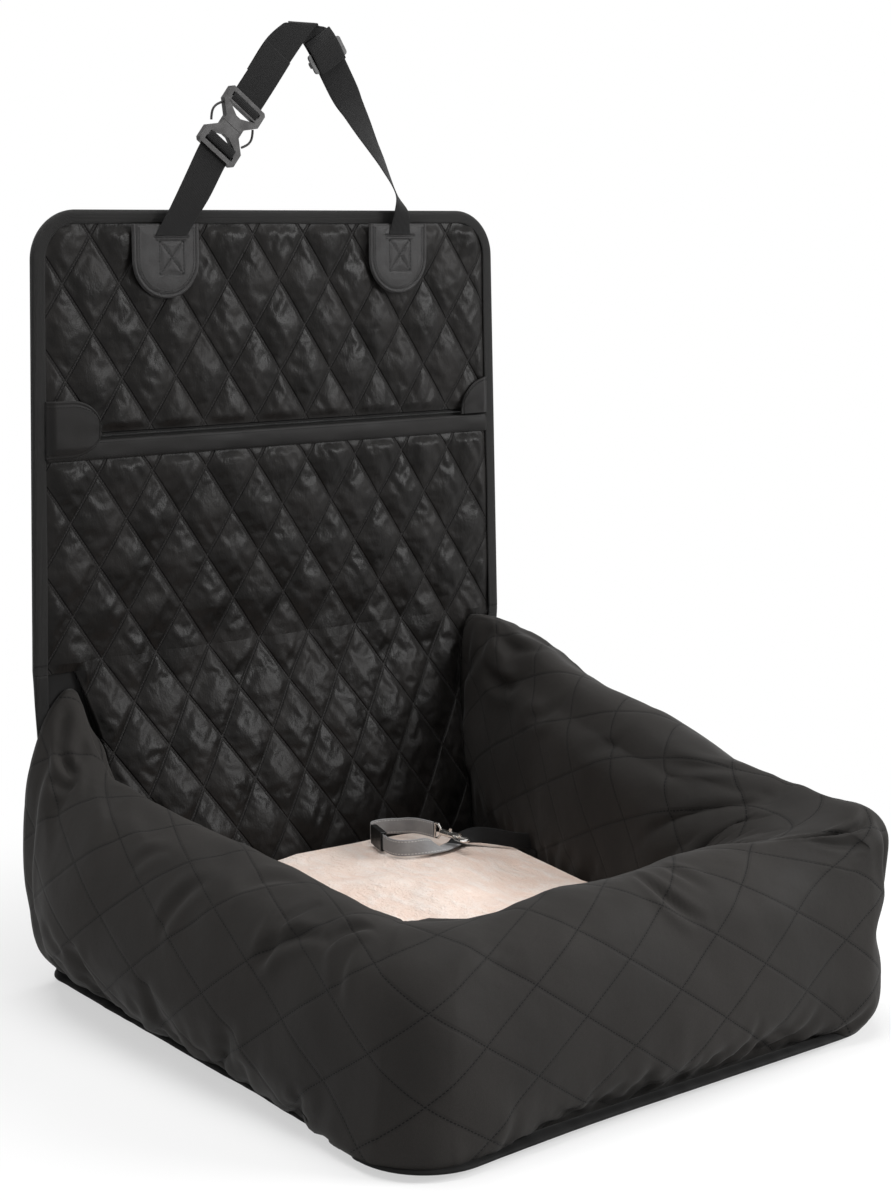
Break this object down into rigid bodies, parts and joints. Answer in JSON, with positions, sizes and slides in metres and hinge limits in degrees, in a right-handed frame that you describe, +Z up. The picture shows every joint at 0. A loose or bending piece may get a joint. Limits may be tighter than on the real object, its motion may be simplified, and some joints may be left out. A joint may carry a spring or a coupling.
{
  "type": "dog car seat",
  "caption": "Padded dog car seat: bolstered tub with a plush cushion, a quilted fold-down back panel on a buckled headrest strap, and a clip tether.",
  "frame": {"origin": "middle of the bounding box, on the surface that the base stands on", "axes": "+Z up, +Y towards the back panel, +X to the right of someone who looks at the seat's front"},
  "size_m": [0.6695, 0.6412, 1.0007],
  "materials": {
    "quilted_satin": "satin, quilted",
    "bolster_cloth": "matt",
    "base_cloth": "matt",
    "binding_tape": "ribbed",
    "webbing": "woven",
    "tether_webbing": "woven",
    "leatherette": "satin",
    "buckle_plastic": "satin",
    "black_plastic": "satin",
    "zip_nylon": "satin",
    "nickel": "polished",
    "plush": "short pile",
    "filling": "loose fibre",
    "foam": "open cell"
  },
  "bodies": {
    "tub": {"base_sheet": "base_cloth", "base_zip_tape": "binding_tape", "base_zip_coil": "zip_nylon", "tub_cover": "bolster_cloth", "fill_left": "filling", "fill_front": "filling", "fill_right": "filling", "back_roll_cover": "quilted_satin", "fill_back": "filling", "rear_wall": "base_cloth", "wall_binding_left": "binding_tape", "wall_binding_right": "binding_tape", "tether_anchor": "webbing"},
    "base_zip": {"base_zip_slider": "nickel"},
    "base_pull": {"base_zip_pull": "nickel"},
    "cushion": {"cushion_cover": "plush", "cushion_underside": "base_cloth", "cushion_foam": "foam", "tether_webbing": "tether_webbing", "swivel_eye": "nickel"},
    "tether_slide": {"tether_slider": "black_plastic"},
    "hook": {"hook_body": "nickel"},
    "bolt": {"hook_bolt": "nickel"},
    "back_panel": {"panel_liner": "base_cloth", "upper_quilt": "quilted_satin", "pocket_quilt": "quilted_satin", "pocket_binding": "binding_tape", "pocket_zip_tape": "binding_tape", "pocket_zip_coil": "zip_nylon", "zip_tab_left": "bolster_cloth", "zip_tab_right": "bolster_cloth", "panel_binding": "binding_tape", "anchor_patch_left": "leatherette", "anchor_patch_right": "leatherette"},
    "pocket_zip": {"pocket_zip_slider": "black_plastic", "pocket_zip_pull": "black_plastic"},
    "headrest_strap": {"strap_left": "webbing", "strap_long": "webbing", "buckle_socket": "buckle_plastic"},
    "plug": {"buckle_plug": "buckle_plastic", "plug_webbing": "webbing"},
    "press_left": {"press_arm_left": "buckle_plastic"},
    "press_right": {"press_arm_right": "buckle_plastic"},
    "adjuster": {"tri_glide": "black_plastic"}
  },
  "joints": [
    {"name": "base_zip_slide", "type": "slide", "parent": "tub", "child": "base_zip", "axis": [0, 1, 0], "range_m": [-0.42, 0.08]},
    {"name": "base_pull_flip", "type": "hinge", "parent": "base_zip", "child": "base_pull", "pos_m": [0.2915, 0.2, 0.0039], "axis": [0, -1, 0], "range_deg": [0, 40]},
    {"name": "cushion_lift", "type": "slide", "parent": "tub", "child": "cushion", "axis": [0, 0, 1], "range_m": [0, 0.12]},
    {"name": "tether_slider_slide", "type": "slide", "parent": "cushion", "child": "tether_slide", "axis": [0.3481, 0.9364, -0.0442], "range_m": [-0.006, 0.006]},
    {"name": "hook_swivel", "type": "hinge", "parent": "cushion", "child": "hook", "pos_m": [0.0906, 0.1432, 0.1336], "axis": [0.1921, -0.9809, -0.0303], "continuous": true},
    {"name": "hook_bolt_slide", "type": "slide", "parent": "hook", "child": "bolt", "axis": [-0.1921, 0.9809, 0.0303], "range_m": [0, 0.006], "stiffness_N_per_m": 200},
    {"name": "panel_fold", "type": "hinge", "parent": "tub", "child": "back_panel", "pos_m": [0, 0.3177, 0.335], "axis": [1, 0, 0], "range_deg": [-30, 70]},
    {"name": "pocket_zip_slide", "type": "slide", "parent": "back_panel", "child": "pocket_zip", "axis": [1, 0, 0], "range_m": [0, 0.48]},
    {"name": "strap_swing", "type": "hinge", "parent": "back_panel", "child": "headrest_strap", "pos_m": [0, 0.3024, 0.777], "axis": [1, 0, 0], "range_deg": [0, 150]},
    {"name": "buckle_release", "type": "slide", "parent": "headrest_strap", "child": "plug", "axis": [0.6088, 0, 0.7934], "range_m": [0, 0.02]},
    {"name": "press_left_flex", "type": "hinge", "parent": "plug", "child": "press_left", "pos_m": [-0.07438, 0.3024, 0.91413], "axis": [0, -1, 0], "range_deg": [0, 6], "stiffness_Nm_per_rad": 0.01},
    {"name": "press_right_flex", "type": "hinge", "parent": "plug", "child": "press_right", "pos_m": [-0.03789, 0.3024, 0.88612], "axis": [0, 1, 0], "range_deg": [0, 6], "stiffness_Nm_per_rad": 0.01},
    {"name": "adjuster_slide", "type": "slide", "parent": "headrest_strap", "child": "adjuster", "axis": [0.5299, 0, -0.848], "range_m": [0, 0.026]}
  ],
  "couplings": [
    {"joint": "press_right_flex", "follows": "press_left_flex", "ratio": 1}
  ]
}
